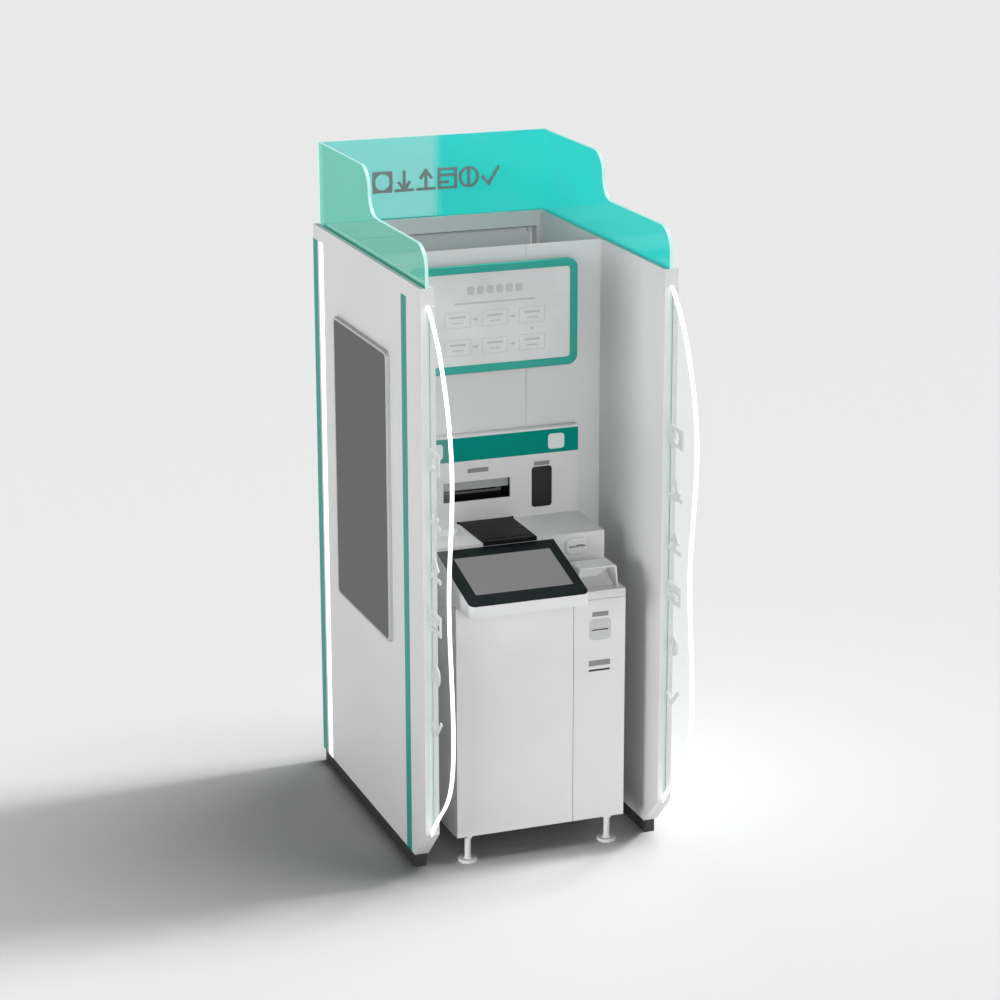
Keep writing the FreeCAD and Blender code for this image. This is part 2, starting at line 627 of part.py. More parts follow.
def bowl(x0, x1, y0, y1, z_top, depth, slope):
    """Upside-down pyramid that cuts a dish with sloping sides."""
    top = Part.makePolygon([V(x0, y0, z_top), V(x1, y0, z_top), V(x1, y1, z_top),
                            V(x0, y1, z_top), V(x0, y0, z_top)])
    low = Part.makePolygon([V(x0 + slope, y0 + slope, z_top - depth),
                            V(x1 - slope, y0 + slope, z_top - depth),
                            V(x1 - slope, y1 - slope, z_top - depth),
                            V(x0 + slope, y1 - slope, z_top - depth),
                            V(x0 + slope, y0 + slope, z_top - depth)])
    return Part.makeLoft([top, low], True, True)


def make_keypad_lid():
    """Black lid, hinged along its back edge, with a finger groove by its front lip."""
    z0, z1 = LID_Z0, LID_Z0 + LID_T
    hinge_z = z0 + LID_T / 2
    lid = box(LID_X0, LID_X1, SHELF_Y - 7, LID_HINGE_Y, z0, z1)
    lid = lid.fuse(rod(LID_X0, LID_HINGE_Y, hinge_z, LID_X1 - LID_X0, LID_T / 2, V(1, 0, 0)))
    lip = box(LID_X0, LID_X1, SHELF_Y - 7, SHELF_Y - 1, z1 - LID_LIP, z1)
    groove_y = SHELF_Y + 20
    groove = box(LID_X0 + 17, LID_X1 - 17, groove_y, groove_y + 5, z1 - 2, z1)
    lid = lid.fuse(lip).cut(groove)
    pin_long, pin_r, play = 14.0, 2.0, 0.5
    lug = 7.0
    pins = []
    for x0, out in ((LID_X0, -1), (LID_X1, 1)):
        start = x0 - pin_long if out > 0 else x0
        lid = lid.cut(rod(start, LID_HINGE_Y, hinge_z, pin_long, pin_r + PIVOT_CLEAR, V(1, 0, 0)))
        lug_x = x0 + play if out > 0 else x0 - play - lug
        pin_x = x0 - pin_long + 2 if out > 0 else x0 - play - 2
        pin = rod(pin_x, LID_HINGE_Y, hinge_z, pin_long + play, pin_r, V(1, 0, 0))
        block = box(lug_x, lug_x + lug, LID_HINGE_Y - 4, LID_HINGE_Y + 4, SHELF_Z, z1 + 0.5)
        pins.append(pin.fuse(block))
    keep("keypad_lid", lid.removeSplitter())
    return pins


def make_card_reader():
    """Reader behind a recessed plate, with a rounded bezel and a raised thumb lobe."""
    x, z = READER_X, READER_Z
    back = SHELF_Y + SHEET + 2
    plate = plate_xz(x - 54, x + 54, z - 38, z + 36, SHELF_Y + SHEET, back, 4.0)
    bezel = plate_xz(x - 38, x + 48, z - 30, z + 28, SHELF_Y - 10, back, 18.0)
    bezel = round_front(bezel, SHELF_Y - 10, 4.0)
    lobe = plate_xz(x - 36, x + 14, z - 28, z + 26, SHELF_Y - 15, SHELF_Y, 16.0)
    lobe = round_front(lobe, SHELF_Y - 15, 4.0)
    scoop = rod(x + 14, SHELF_Y - 16, z, 10, 15.0, V(0, 1, 0))
    slot = box(x - 28, x + 38, SHELF_Y - 16, back, z - 3, z + 3)
    keep("card_bezel", plate.fuse(bezel).fuse(lobe).cut(scoop).cut(slot).removeSplitter())
    body = box(x - 44, x + 46, back, back + 180, z - 28, z + 28)
    keep("card_reader", body.cut(box(x - 28, x + 38, back, back + 90, z - 3, z + 3)))


# ---------------------------------------------------------------- touch console
def console_point(along, up):
    """(y, z) of a point on the sloping top: along the slope, and above it."""
    dy, dz = SHELF_Y - LIP_Y, CONSOLE_BACK_Z - LIP_Z1
    long = math.hypot(dy, dz)
    return (LIP_Y + (along * dy - up * dz) / long, LIP_Z1 + (along * dz + up * dy) / long)


def slope_plate(x0, x1, s0, s1, low, high):
    corners = [console_point(s0, low), console_point(s1, low),
               console_point(s1, high), console_point(s0, high)]
    return prism_yz(corners, x0, x1)


def is_front_corner(edge, y_limit):
    points = [v.Point for v in edge.Vertexes]
    step = points[-1].sub(points[0])
    upright = abs(step.x) < 1e-6 and abs(step.z) > abs(step.y)
    return upright and all(p.y < y_limit for p in points)


def make_console():
    x0, x1 = -HALF, SEAM_X
    slope_long = math.hypot(SHELF_Y - LIP_Y, CONSOLE_BACK_Z - LIP_Z1)
    body = prism_yz([(LIP_Y, LIP_Z0), (LIP_Y, LIP_Z1), (SHELF_Y, CONSOLE_BACK_Z),
                     (SHELF_Y, SEAT_Z), (FRONT_Y, SEAT_Z)], x0, x1)
    body = round_edges(body, CONSOLE_R, lambda e: is_front_corner(e, LIP_Y + 1))
    wall = 3.0
    hollow = prism_yz([(LIP_Y + wall, LIP_Z0 + wall), (LIP_Y + wall, LIP_Z1 - wall),
                       (SHELF_Y - wall, CONSOLE_BACK_Z - wall), (SHELF_Y - wall, SEAT_Z + wall),
                       (FRONT_Y, SEAT_Z + wall)], x0 + wall, x1 - wall)
    hollow = round_edges(hollow, CONSOLE_R - wall, lambda e: is_front_corner(e, LIP_Y + 5))
    body = body.cut(hollow)
    recess = slope_plate(-262, 74, 73, 290, -20, 20)
    keep("console_housing", body.cut(recess))

    bezel = slope_plate(x0, x1, 0.5, slope_long - 1.5, 0, BEZEL_T)
    bezel = round_edges(bezel, CONSOLE_R, lambda e: is_front_corner(e, LIP_Y + 5))
    s0, s1 = 63.0, 299.0
    sx0, sx1 = -272.0, 84.5
    window = slope_plate(sx0, sx1, s0, s1, -1, BEZEL_T + 1)
    keep("console_bezel", bezel.cut(window))
    keep("touchscreen", slope_plate(sx0, sx1, s0, s1, 0, BEZEL_T - 0.6))


# ---------------------------------------------------------------- cabinet
def make_carcass():
    outer = box(-HALF, HALF, CARCASS_Y, CAB_BACK, CAB_Z0, SEAT_Z)
    wide = box(-HALF + SHEET, SEAM_X - SHEET / 2, CARCASS_Y, CAB_BACK - SHEET,
               CAB_Z0 + SHEET, SEAT_Z - SHEET)
    narrow = box(SEAM_X + SHEET / 2, HALF - SHEET, CARCASS_Y, CAB_BACK - SHEET,
                 CAB_Z0 + SHEET, SEAT_Z - SHEET)
    keep("cabinet_carcass", outer.cut(wide).cut(narrow))


def door_pan(x0, x1, z0, z1, pivot_x):
    """Folded door, open at the back, bored top and bottom for its pivot pins."""
    y0, y1 = FRONT_Y, FRONT_Y + DOOR_T
    fold = 2.0
    door = box(x0, x1, y0, y1, z0, z1)
    door = door.cut(box(x0 + fold, x1 - fold, y0 + fold, y1, z0 + fold, z1 - fold))
    py = y0 + PIVOT_IN_Y
    block = 18.0
    near = min(x0, x1) if pivot_x < (x0 + x1) / 2 else x1 - block
    for z in (z0, z1 - block):
        door = door.fuse(box(near, near + block, y0, y1, z, z + block))
    bore = PIVOT_R + PIVOT_CLEAR
    door = door.cut(rod(pivot_x, py, z0, PIVOT_LONG, bore))
    return door.cut(rod(pivot_x, py, z1 - PIVOT_LONG, PIVOT_LONG, bore))


def make_doors():
    gap = 1.0
    z0 = CAB_Z0 + 4
    wide_x0, wide_x1 = -HALF, SEAM_X - gap
    wide_z1 = CAB_Z1 - 4
    wide_pivot = wide_x0 + PIVOT_IN_X + 2
    keep("cabinet_door", door_pan(wide_x0, wide_x1, z0, wide_z1, wide_pivot))

    narrow_x0, narrow_x1 = SEAM_X + gap, HALF
    narrow_z1 = COLUMN_CAP_Z - 1.5
    narrow_pivot = narrow_x1 - PIVOT_IN_X - 2
    door = door_pan(narrow_x0, narrow_x1, z0, narrow_z1, narrow_pivot)
    recess = plate_xz(179, 261, 778, 856, FRONT_Y - 1, FRONT_Y + 3, 16.0)
    low_slot = box(178, 258, FRONT_Y - 1, FRONT_Y + 3, 661.5, 668.5)
    keep("column_door", door.cut(recess).cut(low_slot))

    plate = plate_xz(179.1, 260.9, 778.1, 855.9, FRONT_Y + 1.5, FRONT_Y + 2, 16.0)
    plate = plate.fuse(plate_xz(174, 266, 773, 861, FRONT_Y + 2, FRONT_Y + 5, 20.0))
    keep("receipt_bezel", plate.cut(box(190, 250, FRONT_Y, FRONT_Y + 6, 811.5, 816.5)))
    label_t = 0.8
    keep("column_labels", box(190, 250, FRONT_Y - label_t, FRONT_Y, 864, 881),
         box(178, 258, FRONT_Y - label_t, FRONT_Y, 682, 702))

    py = FRONT_Y + PIVOT_IN_Y
    brackets = []
    for px, x0, x1, top in ((wide_pivot, wide_x0, wide_x0 + 40, wide_z1),
                            (narrow_pivot, narrow_x1 - 40, narrow_x1 - 3, narrow_z1)):
        low = box(x0, x1, py - 8, CARCASS_Y, CAB_Z0, CAB_Z0 + 3)
        low = low.fuse(rod(px, py, CAB_Z0 + 1, PIVOT_LONG, PIVOT_R))
        high = box(x0, x1, py - 8, CARCASS_Y, top + 1, top + 3)
        high = high.fuse(rod(px, py, top - PIVOT_LONG + 2, PIVOT_LONG, PIVOT_R))
        brackets += [low, high]
    return wide_pivot, narrow_pivot, py, brackets


def make_column_top():
    """Cap of the right column, with the sloping tray, and the hood over it."""
    x0, x1 = SEAM_X + 0.5, HALF
    cap = box(x0, x1, FRONT_Y, SHELF_Y, COLUMN_CAP_Z, CAB_Z1)
    cap = cap.cut(box(x0 + SHEET, x1 - SHEET, FRONT_Y + SHEET, SHELF_Y, COLUMN_CAP_Z, SEAT_Z))
    cap = cap.cut(box(x0, x1, CARCASS_Y, SHELF_Y, COLUMN_CAP_Z, SEAT_Z))
    mid, low_half, top_half = 218.0, 75.0, 69.0
    y0, y1, z1, wall = 103.0, 194.0, 1038.0, 4.0
    tray_y0, tray_y1, tray_z, inner = 133.0, y1 - wall, 977.0, low_half - wall - 2
    tray = prism_yz([(tray_y0, CAB_Z1), (tray_y1, CAB_Z1), (tray_y1, tray_z)],
                    mid - inner, mid + inner)

    lean = (low_half - top_half) / (z1 - wall - CAB_Z1)

    def cheek_end(out, y, foot, rise):
        ring = [V(mid + out * foot, y, CAB_Z1), V(mid + out * inner, y, CAB_Z1),
                V(mid + out * (inner - lean * rise), y, CAB_Z1 + rise)]
        return Part.makePolygon(ring + ring[:1])

    for out in (-1, 1):
        ends = [cheek_end(out, tray_y0, 53, 10), cheek_end(out, tray_y1, 3, 42)]
        tray = tray.fuse(Part.makeLoft(ends, True, True))
    keep("column_cap", cap.fuse(tray).removeSplitter())

    def bell(half_low, half_top, z_low, z_top, ya, yb):
        ring = [V(mid - half_low, ya, z_low), V(mid + half_low, ya, z_low),
                V(mid + half_top, ya, z_top), V(mid - half_top, ya, z_top)]
        return Part.Face(Part.makePolygon(ring + ring[:1])).extrude(V(0, yb - ya, 0))

    hood = bell(low_half, top_half, CAB_Z1, z1, y0, y1)
    hood = round_edges(hood, 5.0, lambda e: runs_along(e, "y")
                       and all(v.Point.z > z1 - 1 for v in e.Vertexes))
    inside = bell(low_half - wall, top_half - wall, CAB_Z1 - 1, z1 - wall, y0 - 1, y1 - wall)
    keep("slip_hood", hood.cut(inside))


def make_internals():
    x0, x1 = -HALF + 25, SEAM_X - 25
    y0, y1 = CARCASS_Y + 40, CAB_BACK - 180
    z0, z1 = CAB_Z0 + SHEET, 900.0
    plate = 12.0
    safe = box(x0, x1, y0, y1, z0, z1)
    safe = safe.cut(box(x0 + plate, x1 - plate, y0, y1 - plate, z0 + plate, z1 - plate))
    keep("safe_body", safe)
    door = box(x0 + plate, x1 - plate, y0, y0 + 25, z0 + plate, z1 - plate)
    keep("safe_door", door.fuse(rod(-100, y0 - 22, 520, 22, 34, V(0, 1, 0))))
    cassettes = []
    tall = 184.0
    for n in range(4):
        cz = z0 + plate + n * tall
        cassettes.append(hollow_box(x0 + 34, x1 - 34, y0 + 60, y0 + 460, cz, cz + tall, 4.0))
    keep("cash_cassettes", *cassettes)

    divider = SEAM_X + SHEET / 2
    y_back = FRONT_Y + DOOR_T + 16
    receipt = hollow_box(divider, 290, y_back, y_back + 110, 740, 880, 3.0)
    keep("receipt_printer", receipt.cut(box(188, 252, y_back - 1, y_back + 4, 810, 818)))
    slip = hollow_box(divider, 290, y_back, y_back + 140, 560, 700, 3.0)
    keep("slip_printer", slip.cut(box(176, 260, y_back - 1, y_back + 4, 660, 670)))
    keep("computer", hollow_box(142, 292, 420, 780, CAB_Z0 + SHEET, 500, 2.0))

    inlet = plate_xz(180, 230, 180, 212, CAB_BACK, CAB_BACK + 6, 3.0)
    inlet = inlet.fuse(box(186, 224, CAB_BACK - 30, CAB_BACK, 184, 208))
    socket = plate_xz(191, 219, 187, 205, CAB_BACK - 18, CAB_BACK + 7, 2.5)
    keep("power_inlet", inlet.cut(socket))
    panel = nodes["cabinet_carcass"][0]
    nodes["cabinet_carcass"] = [panel.cut(box(186, 224, CAB_BACK - 4, CAB_BACK, 184, 208))]


def make_feet():
    """Adjustable feet: threaded stem, lock nut and a ribbed round pad."""
    feet = []
    for x in (-265.0, 265.0):
        for y in (FRONT_Y + 35, CAB_BACK - 50):
            foot = rod(x, y, 0, 10, 33.5)
            foot = round_edges(foot, 3.0, lambda e: e.Vertexes[0].Point.z > 9)
            for n in range(12):
                foot = foot.cut(rod(x + 35.5 * math.cos(n * math.pi / 6),
                                    y + 35.5 * math.sin(n * math.pi / 6), -1, 12, 4.0))
            foot = foot.fuse(Part.makeCone(16, 11, 8, V(x, y, 10)))
            foot = foot.fuse(rod(x, y, 18, CAB_Z0 - 18, 11.0))
            nut = Part.Face(Part.makePolygon(
                [V(x + 19 * math.cos(k * math.pi / 3), y + 19 * math.sin(k * math.pi / 3),
                   CAB_Z0 - 12) for k in range(7)])).extrude(V(0, 0, 12))
            feet.append(foot.fuse(nut).removeSplitter())
    keep("levelling_feet", *feet)


# ---------------------------------------------------------------- build and write
def build():
    fin = make_fins()
    make_walls(fin)
    make_wall_frames()
    make_plinths()
    make_wall_trims()
    channel_block = make_header()
    make_header_icons()
    make_fin_icons()
    rear_axes, (rear_z0, rear_z1) = make_rear(channel_block)
    make_fascia()
    make_info_board()
    make_ad_display()
    make_head()
    make_cash_slot()
    make_shelf()
    lid_pins = make_keypad_lid()
    make_card_reader()
    make_console()
    make_carcass()
    wide_x, narrow_x, pivot_y, brackets = make_doors()
    rear_x, rear_y, _ = rear_axes["rear_door"]
    reach, flange = PIVOT_LONG - 2, 4.0
    low = rod(rear_x, rear_y, DOORWAY_Z0, rear_z0 + reach - DOORWAY_Z0, PIVOT_R)
    high = rod(rear_x, rear_y, rear_z1 - reach, DOORWAY_Z1 - rear_z1 + reach, PIVOT_R)
    brackets.append(low.fuse(rod(rear_x, rear_y, DOORWAY_Z0, flange, 9)))
    brackets.append(high.fuse(rod(rear_x, rear_y, DOORWAY_Z1 - flange, flange, 9)))
    keep("door_pivots", *brackets)
    keep("lid_pivots", *lid_pins)
    make_column_top()
    make_internals()
    make_feet()
    return {"wide": (wide_x, pivot_y, CAB_Z0), "narrow": (narrow_x, pivot_y, CAB_Z0),
            "rear_door": rear_axes["rear_door"], "rear_handle": rear_axes["rear_handle"],
            "lid": (0, LID_HINGE_Y, LID_Z0 + LID_T / 2)}


def footprint_centre():
    box_all = FreeCAD.BoundBox()
    for solids in nodes.values():
        for solid in solids:
            box_all.add(solid.BoundBox)
    return V(box_all.Center.x, box_all.Center.y, 0)


axes = build()
ORIGIN = footprint_centre()

os.makedirs("parts", exist_ok=True)
for name, solids in nodes.items():
    shape = Part.makeCompound(solids) if len(solids) > 1 else solids[0]
    shape = shape.translated(ORIGIN.negative())
    shape.exportStep("parts/" + name + ".step")
    print(name, len(shape.Solids), round(shape.Volume / 1000, 1), "cm3")
print("nodes", len(nodes), "origin", ORIGIN)
for name, point in axes.items():
    print("axis", name, V(*point).sub(ORIGIN))
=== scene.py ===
import math

import bmesh
import bpy
from mathutils import Matrix, Vector


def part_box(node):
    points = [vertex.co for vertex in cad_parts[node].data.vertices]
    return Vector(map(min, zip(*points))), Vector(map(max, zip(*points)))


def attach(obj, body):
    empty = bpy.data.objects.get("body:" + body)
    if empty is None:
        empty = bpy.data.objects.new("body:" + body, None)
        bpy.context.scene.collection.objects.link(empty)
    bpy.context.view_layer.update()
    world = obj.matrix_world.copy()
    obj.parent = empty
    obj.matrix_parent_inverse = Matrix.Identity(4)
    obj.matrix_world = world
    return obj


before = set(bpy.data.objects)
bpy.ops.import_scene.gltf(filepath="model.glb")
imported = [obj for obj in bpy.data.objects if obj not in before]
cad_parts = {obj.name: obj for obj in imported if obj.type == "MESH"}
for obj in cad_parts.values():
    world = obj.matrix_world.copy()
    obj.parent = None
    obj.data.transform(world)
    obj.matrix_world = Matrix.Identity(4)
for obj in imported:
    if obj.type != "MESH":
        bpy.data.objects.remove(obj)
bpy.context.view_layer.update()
MM = 0.001
BODY = "booth"          # the body that the extra piece rides on

# ------------------------------------------------------------------ view and light
CAMERA_AT = Vector((-3.3377, -9.0134, 4.0545))
CAMERA_YAW, CAMERA_PITCH, CAMERA_ROLL = 0.3552, -0.2890, -0.0020   # radians, yaw from +Y to +X
LENS_MM, SENSOR_MM = 101.14, 36.0
CAMERA_REACH = 300.0    # metres

FLOOR_HALF = 90.0       # metres
FLOOR_COLOUR = 0.80
SKY = 0.05              # even light from the whole studio
# name: (azimuth the light comes from, elevation, strength, softness), angles in degrees
SUNS = {
    "key": (90.0, 40.0, 2.12, 10.0),
    "overhead": (90.0, 66.0, 1.88, 40.0),
    "left_fill": (-110.0, 8.0, 1.72, 20.0),
    "front_fill": (-175.0, 16.0, 0.98, 20.0),
}


def srgb(code):
    """Linear colour from a hex code."""
    values = [int(code[i:i + 2], 16) / 255 for i in (0, 2, 4)]
    linear = [v / 12.92 if v <= 0.04045 else ((v + 0.055) / 1.055) ** 2.4 for v in values]
    return (*linear, 1.0)


# ------------------------------------------------------------------ materials
ROUGH_VARY = 0.06       # how far the grain moves the roughness either way
GRAIN_DEPTH = 0.0002    # metres
ROOT_PAINTED_GLOW = 0.14        # painted glow, in place of light, of a clear fin's part inside the wall's groove
ROOT_BLEND = 0.0005     # metres, half the change from clear to opaque
TINT_FADE = (-0.01, 0.05)               # X range in metres over which a header pane's cover changes
RIM_NORMAL = (0.6, 0.3)                 # share of the normal across the pane: face, then rim
# painted highlight: pale colour and glow given to the panes' edge faces
RIM_HIGHLIGHT_COLOUR, RIM_HIGHLIGHT_GLOW = (0.30, 0.42, 0.41, 1), (0.26, 0.47, 0.45, 1)


def new_material(name):
    material = bpy.data.materials.new(name)
    material.use_nodes = True
    tree = material.node_tree
    shader = next(n for n in tree.nodes if n.type == "BSDF_PRINCIPLED")
    return material, tree, shader


def add(tree, kind, **settings):
    node = tree.nodes.new(kind)
    for key, value in settings.items():
        if key in node.inputs:
            node.inputs[key].default_value = value
        else:
            setattr(node, key, value)
    return node


def noise(tree, scale, detail=3.0, stretch=None):
    """Noise over the object's own metres, optionally stretched along axes."""
    place = add(tree, "ShaderNodeTexCoord").outputs["Object"]
    if stretch:
        mapping = add(tree, "ShaderNodeMapping")
        mapping.inputs["Scale"].default_value = stretch
        tree.links.new(place, mapping.inputs["Vector"])
        place = mapping.outputs["Vector"]
    texture = add(tree, "ShaderNodeTexNoise", Scale=scale, Detail=detail, Roughness=0.55)
    tree.links.new(place, texture.inputs["Vector"])
    return texture.outputs["Fac"]


def remap(tree, value, old, new, **settings):
    """Maps the range old of a value to the range new."""
    ramp = add(tree, "ShaderNodeMapRange", **settings)
    for socket, number in zip(("From Min", "From Max", "To Min", "To Max"), (*old, *new)):
        ramp.inputs[socket].default_value = number
    tree.links.new(value, ramp.inputs["Value"])
    return ramp.outputs["Result"]


def spread(tree, value, low, high):
    """Maps the middle of a noise to the range low..high."""
    return remap(tree, value, (0.3, 0.7), (low, high))


def blend(tree, factor, first, second):
    """Colour that goes from first to second with the factor."""
    mix = add(tree, "ShaderNodeMix", data_type="RGBA")
    tree.links.new(factor, mix.inputs[0])
    mix.inputs[6].default_value = first
    mix.inputs[7].default_value = second
    return mix.outputs[2]


def calculate(tree, operation, *values):
    """Result of a math node fed by other nodes."""
    node = add(tree, "ShaderNodeMath", operation=operation)
    for number, value in enumerate(values):
        tree.links.new(value, node.inputs[number])
    return node.outputs[0]


def axes(tree, vector):
    """The X, Y and Z of a vector output."""
    split = add(tree, "ShaderNodeSeparateXYZ")
    tree.links.new(vector, split.inputs[0])
    return split.outputs


def toned(colour, factor):
    """A linear colour, darkened or lightened."""
    return tuple(min(1.0, c * factor) for c in colour[:3]) + (1.0,)


def finish(name, colour, rough, grain=900.0, bump=0.04, vary=0.03, cloud=2.5, metallic=0.0,
           stretch=None, specular=0.5):
    """Moulded, coated or metal surface with fine grain and slow changes of tone.

    grain and cloud are the fine and the slow noise's scale, bump the grain's relief, and vary the
    share by which the tone changes.
    """
    material, tree, shader = new_material(name)
    base = srgb(colour)
    tone = spread(tree, noise(tree, cloud, 4.0), 0.0, 1.0)
    tree.links.new(blend(tree, tone, toned(base, 1 - vary), toned(base, 1 + vary)),
                   shader.inputs["Base Color"])
    fine = noise(tree, grain, 2.0, stretch)
    tree.links.new(spread(tree, fine, max(0.02, rough - ROUGH_VARY), min(1.0, rough + ROUGH_VARY)),
                   shader.inputs["Roughness"])
    relief = add(tree, "ShaderNodeBump", Strength=bump, Distance=GRAIN_DEPTH)
    tree.links.new(fine, relief.inputs["Height"])
    tree.links.new(relief.outputs["Normal"], shader.inputs["Normal"])
    shader.inputs["Metallic"].default_value = metallic
    shader.inputs["Specular IOR Level"].default_value = specular
    return material


def light_strip(name, colour, strength):
    """Lit diffuser: almost even, with small slow changes of brightness."""
    material, tree, shader = new_material(name)
    shader.inputs["Base Color"].default_value = srgb(colour)
    shader.inputs["Roughness"].default_value = 0.4
    shader.inputs["Emission Color"].default_value = srgb(colour)
    glow = spread(tree, noise(tree, 30.0, 1.0), strength * 0.94, strength * 1.06)
    tree.links.new(glow, shader.inputs["Emission Strength"])
    return material


def clear_fin(name, colour, alpha, wall_front):
    """Clear acrylic with slight haze; its root behind wall_front is opaque, with a faint painted
    glow in place of light.
    """
    material, tree, shader = new_material(name)
    base = srgb(colour)
    tree.links.new(blend(tree, spread(tree, noise(tree, 3.0), 0.0, 1.0), toned(base, 0.97), base),
                   shader.inputs["Base Color"])
    tree.links.new(spread(tree, noise(tree, 12.0), 0.04, 0.07), shader.inputs["Roughness"])
    shader.inputs["IOR"].default_value = 1.45
    shader.inputs["Emission Color"].default_value = (1, 1, 1, 1)
    behind = axes(tree, add(tree, "ShaderNodeTexCoord").outputs["Object"])["Y"]
    border = (wall_front - ROOT_BLEND, wall_front + ROOT_BLEND)
    tree.links.new(remap(tree, behind, border, (alpha, 1.0)), shader.inputs["Alpha"])
    # painted glow on the root, standing in for light
    tree.links.new(remap(tree, behind, border, (0.0, ROOT_PAINTED_GLOW)),
                   shader.inputs["Emission Strength"])
    return material


def painted_glow_screen(name, colour, glow):
    """Display whose even grey is nearly all a painted glow standing in for its lit shade, with a
    faint satin haze.
    """
    material, tree, shader = new_material(name)
    shader.inputs["Base Color"].default_value = (0.006, 0.006, 0.006, 1)
    shader.inputs["Emission Color"].default_value = srgb(colour)
    tree.links.new(spread(tree, noise(tree, 5.0), glow * 0.985, glow * 1.015),
                   shader.inputs["Emission Strength"])
    tree.links.new(spread(tree, noise(tree, 1800.0, 2.0), 0.42, 0.52), shader.inputs["Roughness"])
    shader.inputs["Specular IOR Level"].default_value = 0.05
    return material


def tinted_glass_painted_light(name, lit, own, clear_from, clear_to, thin_axis):
    """Tinted sheet with a painted glow and pale edges painted bright, whose cover can change along
    X.

    lit is its colour under light and own the colour of its painted glow, which stands in for light
    in the sheet. The cover of each of its faces is clear_from before TINT_FADE and clear_to after
    it.
    thin_axis is the axis across the sheet, 0 for X and 1 for Y.
    """
    material, tree, shader = new_material(name)
    along = axes(tree, add(tree, "ShaderNodeTexCoord").outputs["Object"])["X"]
    tint = remap(tree, along, TINT_FADE, (clear_from, clear_to), interpolation_type="SMOOTHSTEP")
    cloudy = calculate(tree, "MULTIPLY", tint, spread(tree, noise(tree, 2.2, 2.0), 0.96, 1.02))
    normal = axes(tree, add(tree, "ShaderNodeNewGeometry").outputs["Normal"])
    rim = remap(tree, calculate(tree, "ABSOLUTE", normal[thin_axis]), RIM_NORMAL, (0.0, 1.0))
    # painted highlight on the edge faces
    tree.links.new(blend(tree, rim, (*lit, 1), RIM_HIGHLIGHT_COLOUR), shader.inputs["Base Color"])
    tree.links.new(blend(tree, rim, (*own, 1), RIM_HIGHLIGHT_GLOW), shader.inputs["Emission Color"])
    tree.links.new(calculate(tree, "MAXIMUM", cloudy, rim), shader.inputs["Alpha"])
    tree.links.new(spread(tree, noise(tree, 10.0), 0.06, 0.12), shader.inputs["Roughness"])
    # painted glow: each pane shines with its own colour in place of lit shade
    shader.inputs["Emission Strength"].default_value = 1.0
    shader.inputs["Specular IOR Level"].default_value = 0.3
    return material


WHITE = finish("white_powder_coat", "DADADA", 0.48, grain=1400, bump=0.05)
WALL_WHITE = finish("wall_powder_coat", "D8D8D8", 0.5, grain=1200, bump=0.05, cloud=1.4)
FASCIA_WHITE = finish("fascia_powder_coat", "D6D7D7", 0.5, grain=1200, bump=0.05, cloud=1.6)
REAR_WHITE = finish("rear_powder_coat", "CDCFCF", 0.5, grain=1200, bump=0.06)
PLASTIC_WHITE = finish("white_moulded", "DFE0E0", 0.42, grain=2200, bump=0.03, vary=0.015)
LABEL_GREY = finish("grey_label_film", "868787", 0.6, grain=3000, vary=0.04)
TEAL_TRIM = finish("teal_strip_film", "2C9487", 0.42, grain=1500, bump=0.02, specular=0.15)
TEAL_FRAME = finish("teal_frame_paint", "34A597", 0.42, grain=1500, bump=0.03, specular=0.2)
TEAL_BAND = finish("teal_band_gloss", "008A7E", 0.34, grain=1500, bump=0.015, specular=0.04)
PALE_LENS = finish("pale_lens", "DFE6E5", 0.35, grain=2600, bump=0.02, vary=0.02)
PLINTH = finish("plinth_board", "33322F", 0.7, grain=700, bump=0.12)
DARK = finish("dark_moulded", "141413", 0.55, grain=1800, bump=0.08, specular=0.15)
LID_BLACK = finish("lid_black", "0F0E0E", 0.42, grain=2400, bump=0.05, specular=0.1)
BEZEL_BLACK = finish("bezel_black", "12181A", 0.3, grain=2600, bump=0.02, specular=0.12)
# both screens get their grey from a painted glow, not from the light falling on them
SCREEN_GREY = painted_glow_screen("touch_screen_painted_glow", "7E7E7E", 0.98)
AD_GREY = painted_glow_screen("display_screen_painted_glow", "606060", 0.9)
AD_FRAME = finish("display_frame", "B4B7B7", 0.38, grain=1800, bump=0.03, metallic=0.25)
SCANNER = finish("scanner_glass", "2B2A28", 0.2, grain=1200, bump=0.0, specular=0.16)
SHUTTER = finish("shutter_satin", "A4A6A6", 0.4, grain=1400, bump=0.04, stretch=(0.05, 1, 1))
STEEL = finish("brushed_steel", "A8AAAC", 0.32, grain=1600, bump=0.05, metallic=0.9,
               stretch=(0.05, 1, 1))
SIGN_METAL = finish("sign_metal", "9A9C9D", 0.34, grain=1500, bump=0.05, metallic=0.55)
# painted shade: the fins' white letters are set a little grey, as they look in shade
SIGN_WHITE_PAINTED_SHADE = finish("sign_white_painted_shade", "D2D4D4", 0.4, grain=1500, bump=0.02, vary=0.015)
CHANNEL = finish("channel_aluminium", "5E6263", 0.4, grain=1600, bump=0.04, metallic=0.7,
                 stretch=(1, 0.05, 1))
MODULE = finish("module_zinc", "8A8D8F", 0.42, grain=900, bump=0.08, metallic=0.6)
SAFE = finish("safe_paint", "4B4E51", 0.55, grain=800, bump=0.12)
CASSETTE = finish("cassette_moulded", "2F3336", 0.5, grain=1500, bump=0.08)
PANEL_PALE = finish("board_diffuser", "D9DBDB", 0.45, grain=1800, bump=0.01, vary=0.06, cloud=6.0)
PRINT_GREY = finish("board_print", "C2C4C4", 0.6, grain=2400, bump=0.0, vary=0.05, specular=0.1)
RECEIPT_GREY = finish("receipt_plate_moulded", "BFC0C0", 0.45, grain=2200, bump=0.04, vary=0.02)
PIVOT_STEEL = finish("pivot_steel", "3A3B3C", 0.45, grain=1600, bump=0.05, metallic=0.8)
LIGHT = light_strip("lit_white", "FFFFFF", 1.25)
